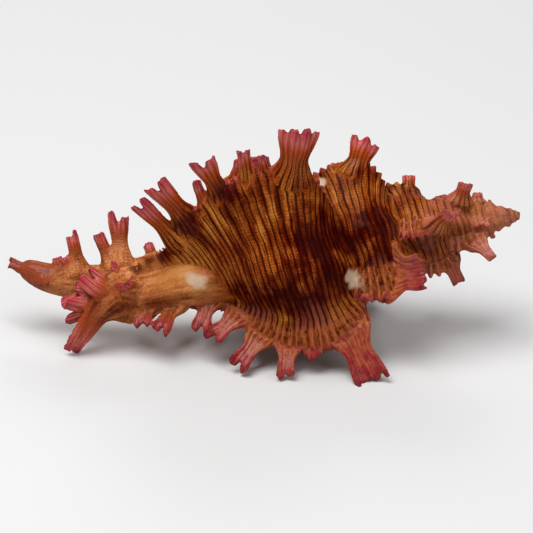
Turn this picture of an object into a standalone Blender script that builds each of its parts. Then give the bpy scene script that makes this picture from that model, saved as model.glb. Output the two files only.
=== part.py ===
"""A branched murex shell, lying on three of its fronds.

The shell is drawn in its own frame, in millimetres. Its coiling axis is the x axis, with the apex at
x = 0 and the canal towards -x. A place is given by its distance from the apex along the axis, its
distance from the axis, and its angle round the axis, which is 0 towards -y and 90 degrees towards +z.
A growth turn of 0 is at the last varix, and earlier growth has negative turns. At the end the shell is
turned to the pose in which it rests, in metres, with +z up.
"""

import math
from collections import namedtuple

import bmesh
import bpy
import numpy as np
from mathutils import Matrix, Vector

MM = 0.001
WHOLE_TURN = math.tau

# Coiling
WHORL_GROWTH = 1.52  # how much larger each whorl is than the one before
FIRST_TURN = math.radians(-3240)
LAST_TURN = math.radians(7)
LIP_ANGLE = math.radians(46)  # where the last varix stands round the axis
VARIX_DEGREES = (0, -114, -221, -327, -461, -560, -652, -770, -864)  # growth turns, from the last one
VARIX_STEP = math.radians(106)  # between the varices before those
VARICES = 17
APEX_SWELL = 1.2  # how much broader the first whorls are than the later ones
APEX_FADE = 0.09
APEX_LEAN = Vector((1.0, 0, -1.1))  # how far the first whorls lean off the axis

# Outline of the last whorl in a half plane through the axis: (from the apex, from the axis)
WHORL_OUTLINE = (
    (36.0, 8.6),
    (39.2, 13.0),
    (43.5, 16.3),
    (48.5, 17.3),
    (54.0, 16.2),
    (59.5, 13.0),
    (64.5, 8.8),
    (69.0, 5.6),
    (75.0, 3.8),
)
COLUMELLA_RADIUS = 0.5
OUTER_SHARE = 0.8  # of the points round a section, how many lie on the outer wall
AROUND_STEPS = 34
TURN_STEP = math.radians(4)

# Varices: thick ribs that rise slowly behind and drop in front
CREST_HEIGHTS = (8.0, 7.3, 7.4, 7.4)  # from the last varix
SPIRE_CREST = 8.2
CREST_STARTS = (0.3, 0.46, 0.3, 0.25)  # how far down the outer wall a varix has its full height
SPIRE_START = 0.5
CREST_BACK = math.radians(58)
CREST_FRONTS = (math.radians(9), math.radians(14), math.radians(14))
SPIRE_FRONT = math.radians(38)
FRONT_STEEP = 0.8  # the last varices end in a crease in front
FRONT_GENTLE = 1.5
NODE_HEIGHT = 1.2  # a low swelling midway between two varices
SPIRE_NODE = 3.0
SPIRE_TURN = math.radians(-950)  # growth before this is the small spire
NODE_WIDTH = math.radians(15)

# Aperture
MOUTH_CENTRE = (52.5, 9.6)
MOUTH_HALF = (10.2, 5.8)
MOUTH_RIM = math.radians(3)  # how far the lip stands out in front
MOUTH_DEPTH = math.radians(105)
MOUTH_ROWS = 18
THROAT_SHRINK = 0.6

# Canals, from the last growth stage: the angle, then (from the apex, from the axis, radius) along it
CANALS = (
    (
        math.radians(103),
        (
            (51.0, 0.8, 2.0),
            (58.0, 1.5, 3.0),
            (64.0, 2.3, 4.0),
            (69.0, 2.6, 4.1),
            (75.0, 2.6, 3.8),
            (81.0, 2.7, 3.6),
            (86.0, 3.6, 3.5),
            (90.0, 4.8, 3.2),
            (94.0, 6.6, 2.8),
            (98.0, 9.6, 2.3),
        ),
    ),
    (
        math.radians(-8),
        (
            (54.0, 3.2, 5.6),
            (60.0, 3.4, 5.2),
            (66.0, 3.9, 4.4),
            (72.0, 4.2, 3.5),
            (78.0, 4.0, 3.0),
            (82.0, 4.4, 3.0),
            (85.0, 4.9, 2.6),
        ),
    ),
    (
        math.radians(-150),
        (
            (48.0, 3.0, 4.0),
            (54.0, 3.4, 3.6),
            (60.0, 3.8, 3.2),
            (66.0, 4.4, 2.9),
            (71.0, 5.6, 2.5),
            (74.5, 7.4, 1.9),
        ),
    ),
)
CANAL_AROUND = 16
CANAL_ALONG = 30

# Fronds
THICKEST = 1.9
THICKNESS_BASE = 0.6
THICKNESS_PER_WIDTH = 0.32
TIP_THICKNESS = 0.62  # share of the thickness that the tip keeps
CUP = 0.45  # how far the edges fold forward, as a share of the half width
NOTCHES = (0.0, 0.12, 0.26, 0.2, 0.17, 0.15)  # depth of the clefts for each number of lobes
LOBE_SPREAD = 1.22  # above 1, the outer lobes stand out to the sides
UNEVEN = 0.13  # how much shorter some lobes are, as a share of the length
FLUTES = 0.3  # depth of the folds between the lobes, as a share of a lobe's width
ROOT_SPREAD = 1.0  # how much broader and thicker the root is, and how far it runs back down the whorl
ROOT_SWELL = 1.6
ROOT_BACK = 1.1
ROOT_TOP = 0.62  # share of the length where the root ends
LENGTHEN = 1.07
FROND_ACROSS = 16
FROND_ALONG = 16
ACROSS = math.radians(90)  # a frond that is broad round the axis and not along it

# The ends of a frond are (from the apex, from the axis, degrees in front of the varix)
Frond = namedtuple("Frond", "root tip width flare lobes twist", defaults=(0,))

LIP_FRONDS = (
    Frond((44.2, 18.0, -3), (39.0, 32.6, 0), 5.2, 8.4, 4),
    Frond((47.4, 21.0, 0), (47.6, 28.2, 0), 1.6, 1.6, 1),
    Frond((51.2, 20.0, 0), (50.8, 30.8, 0), 2.4, 2.8, 2),
    Frond((55.8, 17.0, 0), (59.2, 29.8, 0), 3.2, 5.4, 2),
    Frond((50.6, 16.0, 7), (49.4, 24.4, 10), 9.0, 7.0, 1),
    Frond((60.0, 15.5, 0), (60.9, 23.5, 4), 2.0, 2.0, 1),
    Frond((61.6, 10.4, 0), (69.2, 26.6, 0), 3.8, 5.2, 2),
    Frond((65.0, 7.4, 0), (72.9, 22.4, 0), 3.0, 3.9, 2),
    Frond((72.0, 3.0, 50), (72.7, 8.8, 57), 2.2, 2.2, 1),
    Frond((79.0, 2.6, 34), (77.2, 15.6, 34), 2.9, 4.2, 2),
    Frond((80.0, 3.6, 34), (81.9, 12.6, 34), 2.4, 2.4, 1),
    Frond((86.7, 3.2, 34), (87.0, 13.8, 34), 2.6, 2.6, 2),
    Frond((88.0, 4.6, 34), (89.3, 9.6, 34), 1.8, 1.6, 1),
    Frond((90.4, 5.0, 42), (90.7, 9.6, 42), 2.2, 2.2, 1),
    Frond((92.6, 5.2, 57), (99.9, 11.2, 57), 3.4, 3.8, 2, math.radians(65)),
)
SECOND_FRONDS = (
    Frond((38.6, 14.5, -3), (35.2, 28.0, -6), 5.2, 7.0, 4),
    Frond((45.3, 17.0, 0), (45.5, 22.0, 0), 2.4, 2.6, 2),
    Frond((49.2, 16.0, 0), (51.7, 24.6, 0), 3.1, 3.6, 2),
    Frond((53.6, 13.5, 0), (60.5, 20.4, 0), 3.2, 4.4, 2),
    Frond((57.0, 9.0, 4), (64.4, 14.2, 6), 3.0, 4.6, 2),
    Frond((62.6, 4.5, 10), (66.0, 12.2, 10), 2.8, 3.8, 2),
    Frond((68.8, 4.0, 18), (73.7, 12.0, 18), 2.8, 4.2, 2),
    Frond((74.3, 3.5, 20), (77.0, 9.8, 20), 2.6, 3.8, 2),
    Frond((79.3, 3.5, 88), (80.0, 8.6, 112), 1.6, 1.5, 1),
    Frond((75.5, 4.0, 73), (79.2, 9.4, 76), 2.8, 3.6, 3),
    Frond((76.0, 4.0, 66), (85.4, 9.0, 104), 5.0, 5.6, 2, ACROSS),
    Frond((77.0, 4.2, 62), (89.3, 6.6, 84), 5.4, 5.8, 2, ACROSS),
    Frond((78.0, 4.2, 60), (91.2, 5.2, 50), 5.4, 5.8, 2, ACROSS),
    Frond((78.0, 4.2, 58), (90.6, 9.0, -16), 5.6, 5.6, 3, ACROSS),
)
THIRD_FRONDS = (
    Frond((35.0, 12.0, 0), (33.0, 27.2, 17), 5.4, 6.8, 3),
    Frond((36.6, 14.5, 0), (36.6, 20.0, 0), 1.8, 1.8, 1),
    Frond((39.6, 15.5, 0), (39.5, 23.7, 0), 2.2, 2.6, 2),
    Frond((43.2, 13.2, 0), (45.9, 23.2, 0), 2.8, 4.2, 2),
    Frond((46.4, 12.0, 0), (47.2, 18.2, 3), 1.7, 1.7, 1),
    Frond((48.6, 9.3, 0), (53.4, 20.9, 0), 2.9, 4.3, 2),
    Frond((51.0, 6.6, 4), (55.8, 17.3, 4), 2.6, 3.2, 2),
    Frond((59.5, 3.2, 20), (60.6, 12.4, 20), 2.4, 4.8, 3),
    Frond((66.0, 4.0, 24), (67.3, 11.4, 24), 2.2, 3.4, 3),
    Frond((70.0, 5.2, 25), (76.0, 9.4, 30), 3.6, 4.6, 3, ACROSS),
)
# The shoulder fronds of an earlier varix, at the last whorl's size
EARLIER_FRONDS = (
    Frond((42.5, 18.0, -3), (39.7, 32.0, -4), 6.0, 7.8, 3),
    Frond((48.0, 20.0, 0), (48.0, 27.0, 0), 2.2, 2.2, 1),
)
# Varices of the spire that differ from it, counted back from the last one
SPIRE_FRONDS = {
    3: (
        Frond((31.8, 12.0, -3), (26.6, 20.2, 0), 3.9, 6.0, 3),
        Frond((33.4, 13.5, 0), (34.6, 16.8, 0), 1.6, 1.6, 1),
    ),
    4: (
        Frond((28.0, 9.0, 12), (20.8, 13.6, 20), 6.4, 7.4, 5, math.radians(55)),
        Frond((31.0, 9.5, 0), (31.4, 13.8, 0), 4.0, 4.6, 3),
    ),
    6: (Frond((20.9, 8.0, 0), (19.9, 12.6, 0), 2.6, 2.8, 1),),
    7: (Frond((17.6, 6.6, 10), (13.0, 11.3, 14), 4.0, 4.6, 3),),
    8: (Frond((16.0, 5.8, 0), (14.5, 11.8, 0), 2.7, 2.8, 1),),
    10: (Frond((11.7, 4.8, 0), (9.4, 9.3, 0), 2.8, 3.0, 1),),
    11: (Frond((10.3, 4.0, 0), (7.3, 10.2, 0), 2.6, 2.1, 1),),
    13: (Frond((8.0, 2.8, 0), (7.5, 5.4, 0), 2.0, 2.0, 1),),
}
OWN_FRONDS = (LIP_FRONDS, SECOND_FRONDS, THIRD_FRONDS)

# Fusing the growth into one solid, with sizes in millimetres
FUSE_SIZE = 0.42
SMOOTH_ROUNDS = 3
SMOOTH_FACTOR = 0.5
FILL_ROUNDS = 8
TRIANGLES = 9400
MERGE = 0.0001

# Rest pose: the turns about x and then y, and the place of the apex
REST_ROLL = math.radians(-27.44)
REST_PITCH = math.radians(-12.55)
APEX_AT = Vector((49.90, 0.24, 27.53))
WORN_FLAT = 0.08  # corners of the fine mesh this close to the ground are pressed flat

SHELL_BROWN = (0.42, 0.17, 0.06, 1.0)
SHELL_ROUGHNESS = 0.38


def mix(a, b, share):
    return a + (b - a) * share


def ease(share):
    """0 below 0, 1 above 1, and a smooth rise between."""
    share = min(max(share, 0.0), 1.0)
    return share * share * (3 - 2 * share)


def along_curve(points, share):
    """The point a share of the way along a smooth curve through the points."""
    last = len(points) - 1
    at = min(max(share, 0.0), 1.0) * last
    i = min(int(at), last - 1)
    t = at - i
    near = [points[min(max(j, 0), last)] for j in (i - 1, i, i + 1, i + 2)]
    result = []
    for a, b, c, d in zip(*near):
        square = 2 * a - 5 * b + 4 * c - d
        cube = 3 * b - a - 3 * c + d
        result.append(0.5 * (2 * b + (c - a) * t + square * t * t + cube * t**3))
    return result


def size_at(turn):
    """Size of the growing shell at a growth turn, as a share of its last size."""
    return WHORL_GROWTH ** (turn / WHOLE_TURN)


def varix_turn(index):
    """Growth turn of a varix, counted back from the last one."""
    before = max(index - len(VARIX_DEGREES) + 1, 0)
    return math.radians(VARIX_DEGREES[index - before]) - before * VARIX_STEP


VARIX_TURNS = [varix_turn(index) for index in range(VARICES + 10)]


def place(down, out, angle):
    """The point that far from the apex along the axis and from the axis, at that angle."""
    return Vector((-down, -out * math.cos(angle), out * math.sin(angle)))


def round_axis(angle):
    """The direction of growth round the axis at that angle."""
    return Vector((0, math.sin(angle), math.cos(angle)))


def crest_share(share, index):
    """How much of a varix's height there is that far down the outer wall."""
    start = CREST_STARTS[index] if index < len(CREST_STARTS) else SPIRE_START
    return mix(0.1, 1.0, ease(share / start)) * mix(1.0, 0.5, ease((share - 0.4) / 0.5))


def varix_swell(share, turn):
    """Height of the varix at a place on the outer wall, and how far a low node has risen, from 0 to 1."""
    crest = 0.0
    node = 0.0
    for index, varix in enumerate(VARIX_TURNS):
        if abs(varix - turn) > WHOLE_TURN / 2:
            continue
        height = CREST_HEIGHTS[index] if index < len(CREST_HEIGHTS) else SPIRE_CREST
        height *= crest_share(share, index)
        front = CREST_FRONTS[index] if index < len(CREST_FRONTS) else SPIRE_FRONT
        ahead = varix - turn
        if 0 <= ahead < CREST_BACK:
            crest = max(crest, height * (1 - ahead / CREST_BACK) ** 2.6)
        elif -front < ahead < 0:
            power = FRONT_STEEP if index < len(CREST_FRONTS) else FRONT_GENTLE
            crest = max(crest, height * (1 + ahead / front) ** power)
        if index:
            middle = (varix + VARIX_TURNS[index - 1]) / 2
            node += math.exp(-(((turn - middle) / NODE_WIDTH) ** 2))
    return crest, node


def wall_point(share, turn):
    """(from the apex, from the axis) on the outer wall, at the last whorl's size."""
    down, out = along_curve(WHORL_OUTLINE, share)
    before = along_curve(WHORL_OUTLINE, share - 0.01)
    after = along_curve(WHORL_OUTLINE, share + 0.01)
    run = after[0] - before[0]
    rise = after[1] - before[1]
    length = math.hypot(run, rise)
    crest, node = varix_swell(share, turn)
    crest *= ease(size_at(turn) / 0.3)
    node *= ease(share / 0.2) * (1 - ease((share - 0.45) / 0.3))
    lift = crest + (SPIRE_NODE if turn < SPIRE_TURN else NODE_HEIGHT) * node
    swell = 1 + APEX_SWELL * math.exp(-size_at(turn) / APEX_FADE)
    return down - rise / length * lift, (out + run / length * lift) * swell


def section_point(share, turn):
    """A point round the whorl's section: down the outer wall, then back up the columella."""
    if share <= 1:
        down, out = wall_point(share, turn)
    else:
        down = mix(WHORL_OUTLINE[-1][0] + 1, WHORL_OUTLINE[0][0] - 0.4, share - 1)
        out = COLUMELLA_RADIUS
    size = size_at(turn)
    point = place(down * size, out * size, LIP_ANGLE + turn)
    return point + APEX_LEAN * math.exp(-size / APEX_FADE)


def mouth_point(share, turn, shrink):
    """A point round the aperture's oval: down its outer side, then back up its inner side."""
    down = MOUTH_CENTRE[0] - MOUTH_HALF[0] * shrink * math.cos(math.pi * share)
    out = MOUTH_CENTRE[1] + MOUTH_HALF[1] * shrink * math.sin(math.pi * share)
    size = size_at(turn)
    return place(down * size, out * size, LIP_ANGLE + turn)


def mapped_grid(along, around, surface, closed=True):
    """A mesh of a grid, each of whose points the surface function puts in place."""
    mesh = bmesh.new()
    bmesh.ops.create_grid(mesh, x_segments=along, y_segments=around, size=0.5)
    for vertex in mesh.verts:
        vertex.co = surface(vertex.co.x + 0.5, vertex.co.y + 0.5)
    if closed:
        bmesh.ops.remove_doubles(mesh, verts=mesh.verts, dist=MERGE)
        bmesh.ops.holes_fill(mesh, edges=mesh.edges, sides=0)
    bmesh.ops.recalc_face_normals(mesh, faces=mesh.faces)
    return mesh


def coiled_tube():
    """The whorls as one tube, whose end turns in at the lip and runs back as the aperture."""
    turns = math.ceil((LAST_TURN - FIRST_TURN) / TURN_STEP)
    rows = turns + MOUTH_ROWS

    def surface(along, around):
        row = round(along * rows)
        if around <= OUTER_SHARE:
            share = around / OUTER_SHARE
        else:
            share = 1 + (around - OUTER_SHARE) / (1 - OUTER_SHARE)
        if around > 1 - 0.5 / AROUND_STEPS:
            share = 0
        if row <= turns:
            return section_point(share, mix(FIRST_TURN, LAST_TURN, row / turns))
        if row == turns + 1:
            rim = section_point(share, LAST_TURN + MOUTH_RIM)
            return rim.lerp(mouth_point(share, LAST_TURN + MOUTH_RIM, 1.0), 0.6)
        depth = (row - turns - 2) / (MOUTH_ROWS - 2)
        return mouth_point(share, LAST_TURN - MOUTH_DEPTH * depth, mix(1.0, THROAT_SHRINK, depth))

    return mapped_grid(rows, AROUND_STEPS, surface)


def canal(angle, points):
    """One growth stage's canal, a tapering tube with rounded ends."""

    def surface(along, around):
        share = ease(along)
        down, out, radius = along_curve(points, share)
        before = along_curve(points, share - 0.01)
        after = along_curve(points, share + 0.01)
        path = place(after[0], after[1], angle) - place(before[0], before[1], angle)
        path.normalize()
        side = round_axis(angle)
        up = path.cross(side)
        radius *= math.sqrt(max(1 - (2 * share - 1) ** 14, 0))
        turn_round = around * WHOLE_TURN if around < 1 - 0.5 / CANAL_AROUND else 0
        return place(down, out, angle) + (side * math.cos(turn_round) + up * math.sin(turn_round)) * radius

    return mapped_grid(CANAL_ALONG, CANAL_AROUND, surface)


def frond_centre(frond, angle, size, share):
    down = mix(frond.root[0], frond.tip[0], share) * size
    out = mix(frond.root[1], frond.tip[1], share) * size
    return place(down, out, angle + math.radians(mix(frond.root[2], frond.tip[2], share**2)))


def grown_frond(frond, angle, size=1.0):
    """A hollow frond: a blade whose edges fold forward, broad at its root and lobed at its tip."""
    mesh = bmesh.new()
    bmesh.ops.create_grid(mesh, x_segments=FROND_ACROSS, y_segments=FROND_ALONG, size=1)
    thick = bmesh.ops.extrude_face_region(mesh, geom=mesh.faces[:])["geom"]
    top = [part for part in thick if isinstance(part, bmesh.types.BMVert)]
    bmesh.ops.translate(mesh, verts=top, vec=(0, 0, 1))
    thickness = min(THICKEST, THICKNESS_BASE + THICKNESS_PER_WIDTH * frond.width) * max(size, 0.6)
    for vertex in mesh.verts:
        across = vertex.co.x
        front = vertex.co.z - 0.5
        lobe = frond.lobes * (across / LOBE_SPREAD + 1) / 2
        near_cleft = abs(math.cos(math.pi * lobe))
        cleft = 0.35 * near_cleft**2 + 0.65 * near_cleft**10
        short = UNEVEN * (1 - near_cleft**2) * (0.5 + 0.5 * math.sin(2.4 * int(lobe) + frond.tip[0]))
        share = (vertex.co.y + 1) / 2
        share *= LENGTHEN - (NOTCHES[frond.lobes] * cleft + short) * share
        root = ease((ROOT_TOP - share) / ROOT_TOP * 1.2)
        back = root * ease(share / 0.3)
        half = frond.width * (1 + ROOT_SPREAD * root) / 2
        half = mix(half, frond.flare / 2, ease((share - 0.45) / 0.5)) * size
        centre = frond_centre(frond, angle, size, share)
        path = frond_centre(frond, angle, size, share + 0.01) - frond_centre(frond, angle, size, share - 0.01)
        path.normalize()
        forward = round_axis(math.atan2(centre.z, -centre.y))
        forward -= path * forward.dot(path)
        forward.normalize()
        side = path.cross(forward)
        twisted = forward * math.cos(frond.twist) + side * math.sin(frond.twist)
        side = side * math.cos(frond.twist) - forward * math.sin(frond.twist)
        body = thickness * mix(1, TIP_THICKNESS, share) * (1 + ROOT_SWELL * back)
        body *= math.sqrt(1 - 0.72 * across**2)
        fold = CUP * half * across**2 * ease(share / 0.35) - ROOT_BACK * back * size
        if frond.lobes > 1:
            fold += FLUTES * half / frond.lobes * math.cos(WHOLE_TURN * lobe) * ease((share - 0.3) / 0.5)
        vertex.co = centre + side * across * half + twisted * (fold + front * body)
    bmesh.ops.recalc_face_normals(mesh, faces=mesh.faces)
    return mesh


def growth_pieces():
    yield coiled_tube()
    for angle, points in CANALS:
        yield canal(angle, points)
    for index in range(VARICES):
        turn = varix_turn(index)
        angle = LIP_ANGLE + turn
        if index < len(OWN_FRONDS):
            fronds = [(frond, 1.0) for frond in OWN_FRONDS[index]]
        elif index in SPIRE_FRONDS:
            fronds = [(frond, 1.0) for frond in SPIRE_FRONDS[index]]
        else:
            fronds = [(frond, size_at(turn)) for frond in EARLIER_FRONDS]
        for frond, size in fronds:
            yield grown_frond(frond, angle, size)


def joined(pieces):
    """All the pieces in one mesh."""
    whole = bmesh.new()
    for piece in pieces:
        mesh = bpy.data.meshes.new("growth")
        piece.to_mesh(mesh)
        piece.free()
        whole.from_mesh(mesh)
        bpy.data.meshes.remove(mesh)
    return whole


def put_in(mesh, shape):
    shape.to_mesh(mesh)
    shape.free()
    mesh.update()


def applied(shell):
    """The shell's mesh with its modifiers applied, as a bmesh."""
    depsgraph = bpy.context.evaluated_depsgraph_get()
    finished = bpy.data.meshes.new_from_object(shell.evaluated_get(depsgraph))
    shell.modifiers.clear()
    shape = bmesh.new()
    shape.from_mesh(finished)
    bpy.data.meshes.remove(finished)
    return shape


def fill_creases(mesh):
    """Round off the inward creases, such as where a frond leaves the whorl."""
    count = len(mesh.vertices)
    edges = np.empty(len(mesh.edges) * 2, dtype=np.int32)
    mesh.edges.foreach_get("vertices", edges)
    ends = np.concatenate((edges[::2], edges[1::2]))
    others = np.concatenate((edges[1::2], edges[::2]))
    neighbours = np.bincount(ends, minlength=count)
    places = np.empty(count * 3)
    normals = np.empty(count * 3)
    mesh.vertices.foreach_get("co", places)
    places = places.reshape(-1, 3)
    for _ in range(FILL_ROUNDS):
        mesh.vertex_normals.foreach_get("vector", normals)
        middles = [np.bincount(ends, places[others, axis], count) / neighbours for axis in range(3)]
        outward = np.einsum("ij,ij->i", np.stack(middles, 1) - places, normals.reshape(-1, 3))
        places = places + normals.reshape(-1, 3) * np.maximum(outward, 0)[:, None]
        mesh.vertices.foreach_set("co", places.ravel())
        mesh.update()


def keep_largest(shape):
    """Remove every part that isn't joined to the largest one, such as the skin of a closed hollow."""
    shape.verts.index_update()
    seen = set()
    groups = []
    for start in shape.verts:
        if start.index in seen:
            continue
        seen.add(start.index)
        group = [start]
        for vertex in group:
            for edge in vertex.link_edges:
                other = edge.other_vert(vertex)
                if other.index not in seen:
                    seen.add(other.index)
                    group.append(other)
        groups.append(group)
    groups.sort(key=len)
    spare = [vertex for group in groups[:-1] for vertex in group]
    bmesh.ops.delete(shape, geom=spare, context="VERTS")


def rest_pose():
    roll = Matrix.Rotation(REST_ROLL, 4, "X")
    pitch = Matrix.Rotation(REST_PITCH, 4, "Y")
    return Matrix.Translation(APEX_AT) @ pitch @ roll


def press_flat(shape, near):
    """Bring every point that is below the ground, or that near above it, to the ground."""
    for vertex in shape.verts:
        if vertex.co.z < near:
            vertex.co.z = 0


def build_shell():
    mesh = bpy.data.meshes.new("murex_shell")
    shell = bpy.data.objects.new("murex_shell", mesh)
    bpy.context.scene.collection.objects.link(shell)

    put_in(mesh, joined(growth_pieces()))
    fuse = shell.modifiers.new("fuse", "REMESH")
    fuse.mode = "VOXEL"
    fuse.voxel_size = FUSE_SIZE
    shape = applied(shell)
    keep_largest(shape)
    for _ in range(SMOOTH_ROUNDS):
        bmesh.ops.smooth_vert(
            shape,
            verts=shape.verts,
            factor=SMOOTH_FACTOR,
            use_axis_x=True,
            use_axis_y=True,
            use_axis_z=True,
        )
    put_in(mesh, shape)
    fill_creases(mesh)
    shape = bmesh.new()
    shape.from_mesh(mesh)
    shape.transform(rest_pose())
    press_flat(shape, 0)
    bmesh.ops.triangulate(shape, faces=shape.faces)
    triangles = len(shape.faces)
    put_in(mesh, shape)

    thin = shell.modifiers.new("thin", "DECIMATE")
    thin.decimate_type = "COLLAPSE"
    thin.ratio = TRIANGLES / triangles
    shape = applied(shell)
    press_flat(shape, WORN_FLAT)
    shape.transform(Matrix.Scale(MM, 4))
    put_in(mesh, shape)
    mesh.shade_smooth()

    material = bpy.data.materials.new("shell")
    material.use_nodes = True
    surface = material.node_tree.nodes["Principled BSDF"]
    surface.inputs["Base Color"].default_value = SHELL_BROWN
    surface.inputs["Roughness"].default_value = SHELL_ROUGHNESS
    surface.inputs["Metallic"].default_value = 0.0
    mesh.materials.append(material)
    return shell


def main():
    for thing in list(bpy.data.objects):
        bpy.data.objects.remove(thing, do_unlink=True)
    build_shell()


if __name__ == "__main__":
    main()
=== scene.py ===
"""A branched murex shell resting on three of its fronds, on a pale floor.

The shell grows in its own frame, in millimetres. Its coiling axis is the x axis, with the apex at
x = 0 and the canal towards -x. A place is given by its distance from the apex along the axis, its
distance from the axis, and its angle round the axis, which is 0 towards -y and 90 degrees towards
+z. A growth turn of 0 is at the last varix, and earlier growth has negative turns. While it grows,
each point of the shell gets marks, such as which cord it is on, and its colours and its relief come
from them. At the end the shell is turned to the pose in which it rests, in metres, with +z up.
"""

import math
from collections import namedtuple
from types import SimpleNamespace

import bmesh
import bpy
import numpy as np
from mathutils import Matrix, Vector
from mathutils.bvhtree import BVHTree


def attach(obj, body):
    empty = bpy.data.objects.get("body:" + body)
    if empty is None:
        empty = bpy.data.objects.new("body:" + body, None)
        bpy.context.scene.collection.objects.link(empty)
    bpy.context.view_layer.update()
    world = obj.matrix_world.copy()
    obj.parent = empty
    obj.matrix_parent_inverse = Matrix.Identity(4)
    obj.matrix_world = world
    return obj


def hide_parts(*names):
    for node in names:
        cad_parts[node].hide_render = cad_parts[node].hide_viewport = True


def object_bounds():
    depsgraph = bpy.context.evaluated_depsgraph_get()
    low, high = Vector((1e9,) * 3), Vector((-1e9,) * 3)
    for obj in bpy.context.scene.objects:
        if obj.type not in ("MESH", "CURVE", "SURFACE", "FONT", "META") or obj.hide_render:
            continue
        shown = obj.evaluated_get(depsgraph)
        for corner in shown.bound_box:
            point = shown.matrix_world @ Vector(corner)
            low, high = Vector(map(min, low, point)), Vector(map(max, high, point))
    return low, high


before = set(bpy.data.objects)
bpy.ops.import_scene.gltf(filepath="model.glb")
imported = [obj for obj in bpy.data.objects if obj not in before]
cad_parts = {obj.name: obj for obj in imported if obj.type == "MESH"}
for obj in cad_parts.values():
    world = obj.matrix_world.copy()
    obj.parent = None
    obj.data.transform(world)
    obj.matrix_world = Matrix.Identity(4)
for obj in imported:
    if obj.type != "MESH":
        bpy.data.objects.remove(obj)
cad_low, cad_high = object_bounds()

MM = 0.001
WHOLE_TURN = math.tau

# Coiling
WHORL_GROWTH = 1.52  # how much larger each whorl is than the one before
FIRST_TURN = math.radians(-3240)
LAST_TURN = math.radians(7)
LIP_ANGLE = math.radians(46)  # where the last varix stands round the axis
# Growth turns of the last varices, from the last one, and the step between those before them
VARIX_DEGREES = (0, -114, -221, -327, -461, -560, -652, -770, -864)
VARIX_STEP = math.radians(106)
VARICES = 17
APEX_SWELL = 1.2  # how much broader the first whorls are than the later ones
APEX_FADE = 0.09  # share of the last size by which that swelling and the lean have faded
APEX_LEAN = Vector((1.0, 0, -1.1))  # how far the first whorls lean off the axis

# Outline of the last whorl in a half plane through the axis: (from the apex, from the axis)
WHORL_OUTLINE = (
    (36.0, 8.6), (39.2, 13.0), (43.5, 16.3), (48.5, 17.3), (54.0, 16.2), (59.5, 13.0), (64.5, 8.8),
    (69.0, 5.6), (75.0, 3.8),
)
CURVE_STEP = 0.01  # share of a curve over which its direction is measured
COLUMELLA_RADIUS = 0.5
OUTER_SHARE = 0.8  # of the points round a section, how many lie on the outer wall
AROUND_STEPS = 60
TURN_STEP = math.radians(3)

# Varices: thick ribs that rise slowly behind and drop in front
CREST_HEIGHTS = (8.0, 7.3, 7.4, 7.4)  # from the last varix
SPIRE_CREST = 8.2
CREST_STARTS = (0.3, 0.46, 0.3, 0.25)  # how far down the outer wall a varix has its full height
SPIRE_START = 0.5
CREST_LOW = 0.1  # share of its height that a varix has at the suture ...
CREST_END = 0.5  # ... and near the canal
CREST_BACK = math.radians(58)
BACK_POWER = 2.6  # how hollow the back of a varix is
CREST_FRONTS = (math.radians(9), math.radians(14), math.radians(14))
SPIRE_FRONT = math.radians(38)
FRONT_STEEP = 0.8  # the last varices end in a crease in front
FRONT_GENTLE = 1.5
NODE_HEIGHT = 1.2  # a low swelling midway between two varices
SPIRE_NODE = 3.0
SPIRE_TURN = math.radians(-950)  # growth before this is the small spire
NODE_WIDTH = math.radians(15)
CREST_YOUNG = 0.3  # size of the shell at which the varices have their full height

# Aperture
MOUTH_CENTRE = (52.5, 9.6)
MOUTH_HALF = (10.2, 5.8)
MOUTH_RIM = math.radians(3)  # how far the lip stands out in front
MOUTH_FLARE = 0.6  # how far the rim is drawn in from the wall towards the oval
MOUTH_DEPTH = math.radians(105)
MOUTH_ROWS = 18
THROAT_SHRINK = 0.6  # size of the oval at the end of the throat

# Canals: each point of a path is (from the apex, from the axis, radius)
LIP_CANAL = (
    (51.0, 0.8, 2.0), (58.0, 1.5, 3.0), (64.0, 2.3, 4.0), (69.0, 2.6, 4.1), (75.0, 2.6, 3.8),
    (81.0, 2.7, 3.6), (86.0, 3.6, 3.5), (90.0, 4.8, 3.2), (94.0, 6.6, 2.8), (98.0, 9.6, 2.3),
)
SECOND_CANAL = (
    (54.0, 3.2, 5.6), (60.0, 3.4, 5.2), (66.0, 3.9, 4.4), (72.0, 4.2, 3.5), (78.0, 4.0, 3.0),
    (82.0, 4.4, 3.0), (85.0, 4.9, 2.6),
)
THIRD_CANAL = (
    (48.0, 3.0, 4.0), (54.0, 3.4, 3.6), (60.0, 3.8, 3.2), (66.0, 4.4, 2.9), (71.0, 5.6, 2.5),
    (74.5, 7.4, 1.9),
)
CANALS = (  # with the angle at which each stands
    (math.radians(103), LIP_CANAL),
    (math.radians(-8), SECOND_CANAL),
    (math.radians(-150), THIRD_CANAL),
)
CANAL_AROUND = 24
CANAL_ALONG = 50
CANAL_BLUNT = 14  # the higher, the blunter the ends

# Fronds
THICKEST = 1.9
THICKNESS_BASE = 0.6
THICKNESS_PER_WIDTH = 0.32
TIP_THICKNESS = 0.62  # share of the thickness that the tip keeps
CUP = 0.45  # how far the edges fold forward, as a share of the half width
NOTCHES = (0.0, 0.12, 0.26, 0.2, 0.17, 0.15)  # depth of the clefts for each number of lobes
LOBE_SPREAD = 1.22  # above 1, the outer lobes stand out to the sides
UNEVEN = 0.13  # how much shorter some lobes are, as a share of the length
FLUTES = 0.3  # depth of the folds between the lobes, as a share of a lobe's width
ROOT_SPREAD = 1.0  # how much broader the root is
ROOT_SWELL = 1.6  # how much thicker the root is
ROOT_BACK = 1.1  # how far the root runs back down the whorl
ROOT_TOP = 0.62  # share of the length where the root ends
LENGTHEN = 1.07
ROUND_EDGE = 0.72  # how far the thickness falls off towards the edges
YOUNG_THICK = 0.6  # size below which a frond gets no thinner
FROND_ACROSS = 32
FROND_ALONG = 32
ACROSS = math.radians(90)  # a frond that is broad round the axis and not along it

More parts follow.
